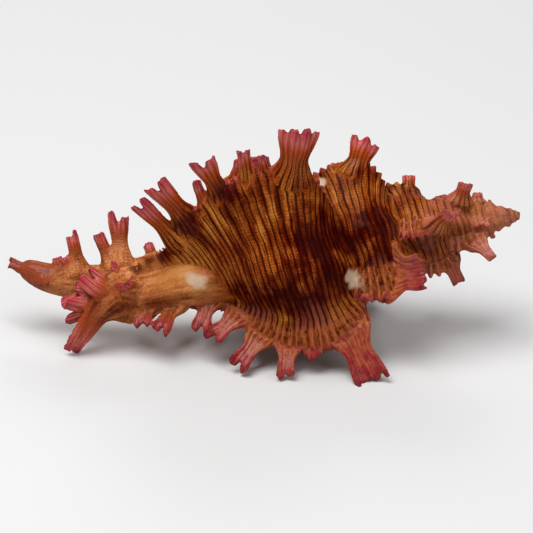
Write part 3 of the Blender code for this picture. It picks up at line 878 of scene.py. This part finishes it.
def grown_shell():
    """The whole shell as one piece, in metres, in its rest pose, with its marks as attributes."""
    mesh = bpy.data.meshes.new("murex")
    shell = placed("murex", mesh)
    chart = Chart()
    whole = bmesh.new()
    for piece in growth_pieces():
        chart.add(piece)
        part = bpy.data.meshes.new("growth")
        put_in(part, closed_up(piece))
        whole.from_mesh(part)
        bpy.data.meshes.remove(part)
    put_in(mesh, whole)
    fuse = shell.modifiers.new("fuse", "REMESH")
    fuse.mode = "VOXEL"
    fuse.voxel_size = FUSE_SIZE
    shape = applied(shell)
    keep_largest(shape)
    for _ in range(SMOOTH_ROUNDS):
        axes = {f"use_axis_{axis}": True for axis in "xyz"}
        bmesh.ops.smooth_vert(shape, verts=shape.verts, factor=SMOOTH_FACTOR, **axes)
    bmesh.ops.triangulate(shape, faces=shape.faces)
    put_in(mesh, shape)
    fill_creases(mesh)

    places = read(mesh.vertices, "co", 3)
    normals = read(mesh.vertex_normals, "vector", 3)
    edges = read(mesh.edges, "vertices", 2, int)
    marks = dict(zip(MARKS, chart.marks_at([Vector(point) for point in places]).T))
    jump = np.abs(marks["cord"][edges[:, 0]] - marks["cord"][edges[:, 1]]) > SEAM_JUMP
    torn = np.zeros(len(places))
    torn[edges[jump].ravel()] = 1.0
    marks["seam"] = np.clip(spread(torn, edges, SEAM_ROUNDS) * 2, 0, 1)
    marks["ribbed"] = marks["ribbed"] * (1 - marks["seam"])
    for name in ("front", "tip", "crest", "inside", "dark"):
        marks[name] = spread(marks[name], edges, MARK_ROUNDS)
    marks["canal"] = spread(marks["canal"], edges, CANAL_ROUNDS)

    pose = np.array(rest_pose())
    height = places @ pose[2, :3] + pose[2, 3]
    calm = np.clip(height / GROUND_CALM, 0, 1)
    wave = np.cos(marks["cord"] * WHOLE_TURN)
    relief = CORD_RELIEF + (CREST_RELIEF - CORD_RELIEF) * marks["crest"]
    relief = relief + (TIP_RELIEF - CORD_RELIEF) * marks["tip"] * (1 - marks["canal"])
    on_wall = 1 - np.clip(marks["tip"] * 2.5, 0, 1)
    relief = relief + (FRONT_RELIEF - CORD_RELIEF) * marks["front"] * on_wall
    scales = np.cos(WHOLE_TURN * (marks["along"] / SCALE_SPACING + 0.25 * wave))
    relief *= marks["ribbed"] * (1 - marks["inside"]) * calm
    lift = 0.5 * (SCALE_RELIEF * marks["front"] * on_wall * calm * scales - relief * wave)
    places = places + normals * lift[:, None]
    mesh.vertices.foreach_set("co", places.ravel())

    for name, values in marks.items():
        attribute = mesh.attributes.new(name, "FLOAT", "POINT")
        attribute.data.foreach_set("value", values.astype(np.float32))

    thin = shell.modifiers.new("thin", "DECIMATE")
    thin.decimate_type = "COLLAPSE"
    thin.ratio = TRIANGLES / len(mesh.polygons)
    shape = applied(shell)
    shape.transform(rest_pose())
    for vertex in shape.verts:
        vertex.co.z = max(vertex.co.z, 0)
    shape.transform(Matrix.Scale(MM, 4))
    low = Vector(min(vertex.co[axis] for vertex in shape.verts) for axis in range(3))
    high = Vector(max(vertex.co[axis] for vertex in shape.verts) for axis in range(3))
    for vertex in shape.verts:
        for axis in range(3):
            share = (vertex.co[axis] - low[axis]) / (high[axis] - low[axis])
            vertex.co[axis] = mix(cad_low[axis], cad_high[axis], share)
    put_in(mesh, shape)
    mesh.shade_smooth()
    return shell


class Wiring:
    """The nodes of one material, added and joined one at a time."""

    def __init__(self, name):
        self.material = bpy.data.materials.new(name)
        self.material.use_nodes = True
        self.tree = self.material.node_tree
        self.surface = self.tree.nodes["Principled BSDF"]

    def feed(self, socket, value):
        """Give a socket another's output, or a plain value."""
        if isinstance(value, bpy.types.NodeSocket):
            self.tree.links.new(value, socket)
        else:
            socket.default_value = value

    def mark(self, name):
        """A mark that the shell got as it grew."""
        node = self.tree.nodes.new("ShaderNodeAttribute")
        node.attribute_name = name
        return node.outputs["Fac"]

    def math(self, operation, *values):
        node = self.tree.nodes.new("ShaderNodeMath")
        node.operation = operation
        for socket, value in zip(node.inputs, values):
            self.feed(socket, value)
        return node.outputs["Value"]

    def plus(self, total, *others):
        for other in others:
            total = self.math("ADD", total, other)
        return total

    def minus(self, a, b):
        return self.math("SUBTRACT", a, b)

    def times(self, a, b):
        return self.math("MULTIPLY", a, b)

    def scaled(self, value, factor, shift):
        return self.math("MULTIPLY_ADD", value, factor, shift)

    def larger(self, a, b):
        return self.math("MAXIMUM", a, b)

    def millimetres(self):
        """The place on the object, in millimetres."""
        where = self.tree.nodes.new("ShaderNodeTexCoord")
        scale = self.tree.nodes.new("ShaderNodeVectorMath")
        scale.operation = "SCALE"
        scale.inputs["Scale"].default_value = 1 / MM
        self.feed(scale.inputs["Vector"], where.outputs["Object"])
        return scale.outputs["Vector"]

    def noise(self, place, scale, detail=2.0, roughness=0.5):
        node = self.tree.nodes.new("ShaderNodeTexNoise")
        self.feed(node.inputs["Vector"], place)
        node.inputs["Scale"].default_value = scale
        node.inputs["Detail"].default_value = detail
        node.inputs["Roughness"].default_value = roughness
        return node.outputs["Fac"]

    def streaks(self, cord, along, per_cord, per_millimetre, detail):
        """Noise that is drawn out along the cords."""
        node = self.tree.nodes.new("ShaderNodeCombineXYZ")
        self.feed(node.inputs["X"], self.times(cord, per_cord))
        self.feed(node.inputs["Y"], self.times(along, per_millimetre))
        return self.noise(node.outputs["Vector"], 1.0, detail, 0.6)

    def rise(self, value, low, high):
        """0 where the value is below low, 1 where it is above high, and a smooth rise between."""
        node = self.tree.nodes.new("ShaderNodeMapRange")
        node.interpolation_type = "SMOOTHSTEP"
        self.feed(node.inputs["Value"], value)
        node.inputs["From Min"].default_value = low
        node.inputs["From Max"].default_value = high
        return node.outputs["Result"]

    def colours(self, value, stops):
        """A run of colours over a value: each stop is where it is, and its colour."""
        node = self.tree.nodes.new("ShaderNodeValToRGB")
        self.feed(node.inputs["Fac"], value)
        ramp = node.color_ramp
        while len(ramp.elements) < len(stops):
            ramp.elements.new(0.5)
        for element, (at, colour) in zip(ramp.elements, stops):
            element.position = at
            element.color = (*colour, 1)
        return node.outputs["Color"]

    def blend(self, share, below, above):
        """One colour over another, as far as the share."""
        node = self.tree.nodes.new("ShaderNodeMix")
        node.data_type = "RGBA"
        self.feed(node.inputs["Factor"], share)
        for socket, colour in zip((node.inputs[6], node.inputs[7]), (below, above)):
            self.feed(socket, colour if isinstance(colour, bpy.types.NodeSocket) else (*colour, 1))
        return node.outputs[2]

    def near(self, spots, core):
        """1 within the core share of the reach of any of the spots, falling raggedly to 0."""
        place = self.millimetres()
        ragged = self.scaled(self.noise(place, 0.3, 2), 1.4, -0.7)
        nearest = FAR
        for spot, reach in spots:
            node = self.tree.nodes.new("ShaderNodeVectorMath")
            node.operation = "DISTANCE"
            self.feed(node.inputs[0], place)
            node.inputs[1].default_value = rest_pose() @ Vector(spot)
            reaches = self.math("DIVIDE", node.outputs["Value"], reach)
            nearest = self.math("MINIMUM", reaches, nearest)
        return self.rise(self.plus(nearest, ragged), 1.0, core)


def shell_patterns(nodes):
    """The marks, and the patterns that several of the colours share."""
    on = SimpleNamespace(**{name: nodes.mark(name) for name in (*MARKS, "seam")})
    on.place = nodes.millimetres()
    # Near the dark spots: dark brown in the shell, and partly painted shade
    on.shade = nodes.near(DARK_AND_SHADED_SPOTS, 0.3)
    on.gold = nodes.near(GOLD_SPOTS, 0.1)
    on.bare = nodes.near(WHITE_SPOTS, 0.35)
    on.young = nodes.near([(APEX, YOUNG_REACH)], 0.2)

    # Cords: wide bands between narrow dark lines that wander a little
    wandering = nodes.plus(on.cord, nodes.scaled(nodes.noise(on.place, 0.16, 3), 0.9, -0.45))
    from_middle = nodes.math("ABSOLUTE", nodes.minus(nodes.math("FRACT", wandering), 0.5))
    to_line = nodes.times(from_middle, 2.0)
    on.streak = nodes.streaks(wandering, on.along, 0.9, 0.09, 3)
    line_width = nodes.scaled(on.streak, 0.7, 0.38)
    # The lines are narrower in the golden spots and wider in the dark spots, which are partly
    # painted shade
    line_width = nodes.plus(line_width, nodes.times(nodes.minus(on.gold, on.shade), 0.12))
    line = nodes.rise(nodes.minus(to_line, line_width), -0.10, 0.10)
    on.line = nodes.times(line, on.ribbed)

    # Finer threads on the cords, and growth lines across them
    on.thread = nodes.streaks(wandering, on.along, 4.5, 0.35, 2)
    shaken = nodes.scaled(nodes.noise(on.place, 0.8, 2), 1.4, on.along)
    on.growth = nodes.math("SINE", nodes.times(shaken, WHOLE_TURN / GROWTH_LINES))
    on.grain = nodes.noise(on.place, 2.6, 3, 0.65)
    on.patches = nodes.noise(on.place, 0.13, 3, 0.55)
    return on


def whorl_colour(nodes, on):
    tone = nodes.plus(
        nodes.times(on.streak, 0.6),
        nodes.times(on.patches, 0.55),
        nodes.times(on.growth, 0.03),
        nodes.scaled(on.thread, 0.35, -0.175),
        nodes.scaled(on.grain, 0.12, -0.06),
        # darker in the dark spots, partly painted shade
        nodes.times(on.shade, -0.19),
        nodes.times(on.gold, 0.06),
    )
    whorl = nodes.colours(tone, WHORL_COLOURS)
    # Painted shade in the hollows behind the varices and the creases in front of them, broken up by
    # the streaks
    deep = nodes.rise(nodes.plus(on.streak, nodes.times(on.patches, 0.5)), 1.0, 0.6)
    whorl = nodes.blend(nodes.times(on.dark, deep), whorl, HOLLOW_SHADE_BROWN)
    whorl = nodes.blend(nodes.times(on.young, 0.5), whorl, YOUNG_BROWN)
    first_whorls = nodes.near([(APEX, APEX_REACH)], 0.3)
    whorl = nodes.blend(nodes.times(first_whorls, 0.6), whorl, APEX_PINK)
    pink = nodes.near(PINK_SPOTS, 0.1)
    whorl = nodes.blend(nodes.times(pink, 0.5), whorl, WHORL_PINK)
    strong = nodes.scaled(on.young, -0.3, 0.85)
    return nodes.blend(nodes.times(on.line, strong), whorl, LINE_BROWN)


def frond_colour(nodes, on):
    """The backs of the fronds: orange, then pink to crimson at the tips."""
    frond = nodes.colours(nodes.plus(on.tip, nodes.scaled(on.streak, 0.5, -0.25)), FROND_COLOURS)
    faint = nodes.scaled(on.young, -0.35, 0.4)
    return nodes.blend(nodes.times(on.line, faint), frond, FROND_LINE)


def front_colour(nodes, on):
    """Front faces of varices and fronds: golden rays, turning pink and crimson outwards."""
    rays = nodes.streaks(on.cord, on.along, 2.2, 0.12, 3)
    rays = nodes.plus(rays, nodes.times(nodes.minus(0.5, rays), nodes.times(on.tip, 0.7)))
    outward = nodes.times(nodes.plus(on.tip, on.crest), 0.3)
    mottle = nodes.scaled(nodes.noise(on.place, 0.7, 2), 0.5, -0.25)
    face = nodes.colours(nodes.plus(rays, outward, mottle), FRONT_COLOURS)
    faint = nodes.scaled(on.tip, -0.3, 0.3)
    face = nodes.blend(nodes.times(on.line, faint), face, FRONT_LINE)
    return nodes.blend(nodes.times(on.young, 0.35), face, YOUNG_FRONT)


def canal_colour(nodes, on):
    """Tan, stippled dark, with streaks along the canal; rust brown and redder at its end; darker in
    the dark spots, partly dark brown and partly painted shade.
    """
    lengthwise = nodes.streaks(on.cord, on.along, 0.8, 0.1, 3)
    stipple = nodes.plus(
        nodes.times(on.grain, 0.28), nodes.times(on.patches, 0.3), nodes.times(lengthwise, 0.42)
    )
    tan = nodes.colours(stipple, CANAL_COLOURS)
    rust = nodes.blend(nodes.rise(stipple, 0.36, 0.6), DARK_RUST, RUST)
    tan = nodes.blend(nodes.times(nodes.near(RUST_SPOTS, 0.2), 0.8), tan, rust)
    tan = nodes.blend(nodes.times(on.gold, 0.6), tan, CANAL_GOLD)
    cream = nodes.near([(spot, reach * CREAM_REACH) for spot, reach in WHITE_SPOTS], 0.2)
    tan = nodes.blend(nodes.times(cream, 0.45), tan, CANAL_CREAM)
    # Dark brown and painted shade in the dark spots
    tan = nodes.blend(nodes.times(on.shade, 0.75), tan, CANAL_DARK_AND_SHADE)
    return nodes.blend(nodes.rise(on.tip, 0.35, 0.9), tan, CANAL_TIP)


def shell_material():
    nodes = Wiring("murex_shell_surface")
    on = shell_patterns(nodes)

    colour = whorl_colour(nodes, on)
    colour = nodes.blend(nodes.rise(on.tip, 0.35, 0.75), colour, frond_colour(nodes, on))
    colour = nodes.blend(nodes.rise(on.front, 0.1, 0.4), colour, front_colour(nodes, on))
    edge = nodes.times(on.crest, nodes.rise(on.grain, 0.4, 0.6))
    colour = nodes.blend(nodes.times(edge, 0.4), colour, EDGE_CRIMSON)
    colour = nodes.blend(on.canal, colour, canal_colour(nodes, on))
    colour = nodes.blend(nodes.times(on.young, 0.2), colour, YOUNG_PINK)
    colour = nodes.blend(on.inside, colour, APERTURE_CREAM)
    colour = nodes.blend(on.bare, colour, RUBBED_WHITE)

    height = nodes.plus(
        nodes.times(on.line, -0.8),
        nodes.times(on.thread, 0.9),
        nodes.times(on.growth, 0.14),
        nodes.times(on.grain, 0.4),
    )
    smooth = nodes.minus(1.0, nodes.larger(on.seam, nodes.larger(on.inside, on.bare)))
    bump = nodes.tree.nodes.new("ShaderNodeBump")
    bump.inputs["Distance"].default_value = BUMP_HEIGHT * MM
    nodes.feed(bump.inputs["Height"], nodes.times(height, smooth))

    surface = nodes.surface.inputs
    nodes.feed(surface["Base Color"], colour)
    nodes.feed(surface["Normal"], bump.outputs["Normal"])
    nodes.feed(surface["Roughness"], nodes.scaled(on.grain, 0.3, 0.26))
    surface["Specular IOR Level"].default_value = 0.0
    wax = nodes.larger(on.tip, nodes.larger(on.front, on.bare))
    nodes.feed(surface["Coat Weight"], nodes.scaled(wax, 0.22, 0.03))
    surface["Coat Roughness"].default_value = 0.14
    return nodes.material


def soft_light(name, at, width, watts):
    """A square soft box, facing the shell."""
    light = bpy.data.lights.new(name, "AREA")
    light.size = width
    light.energy = watts
    holder = placed(name, light)
    holder.location = at
    holder.rotation_euler = (LIT_PLACE - Vector(at)).to_track_quat("-Z", "Y").to_euler()


def studio():
    """The floor, the lights and the camera."""
    mesh = bmesh.new()
    bmesh.ops.create_grid(mesh, x_segments=1, y_segments=1, size=FLOOR_SIZE)
    floor_mesh = bpy.data.meshes.new("floor")
    put_in(floor_mesh, mesh)
    floor = placed("floor", floor_mesh)
    paint = bpy.data.materials.new("pale_floor")
    paint.use_nodes = True
    surface = paint.node_tree.nodes["Principled BSDF"]
    surface.inputs["Base Color"].default_value = (*PALE_GREY, 1)
    surface.inputs["Roughness"].default_value = 0.7
    surface.inputs["Specular IOR Level"].default_value = 0.2
    floor_mesh.materials.append(paint)

    world = bpy.data.worlds.new("studio")
    world.use_nodes = True
    sky = world.node_tree.nodes["Background"].inputs
    sky["Color"].default_value = (1, 1, 1, 1)
    sky["Strength"].default_value = 0.25
    bpy.context.scene.world = world
    soft_light("key", (-0.17, -0.12, 0.6), 0.42, 4.5)
    soft_light("fill", (0.45, -0.4, 0.4), 0.4, 0.9)
    soft_light("rim", (0.1, 0.6, 0.4), 0.3, 1.4)

    turn = rest_pose().to_3x3()
    right = turn @ Vector((math.cos(VIEW_TURN), 0, -math.sin(VIEW_TURN)))
    up = turn @ Vector((math.sin(VIEW_TURN), 0, math.cos(VIEW_TURN)))
    towards = turn @ Vector((0, -1, 0))
    half = PICTURE_SIZE / 2
    centre = APEX_AT + right * (half - APEX_PIXEL[0]) * PICTURE_SCALE
    centre = centre + up * (APEX_PIXEL[1] - half) * PICTURE_SCALE
    lens = bpy.data.cameras.new("camera")
    lens.lens = SENSOR * CAMERA_DISTANCE / (PICTURE_SIZE * PICTURE_SCALE)
    lens.sensor_width = SENSOR
    lens.clip_start = 0.05
    lens.clip_end = 20
    camera = placed("camera", lens)
    facing = Matrix((right, up, towards)).transposed().to_4x4()
    camera.matrix_world = Matrix.Translation((centre + towards * CAMERA_DISTANCE) * MM) @ facing
    bpy.context.scene.camera = camera


murex = grown_shell()
murex.data.materials.append(shell_material())
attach(murex, "root")
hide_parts("murex_shell")
studio()
bpy.context.scene.view_settings.view_transform = "Standard"
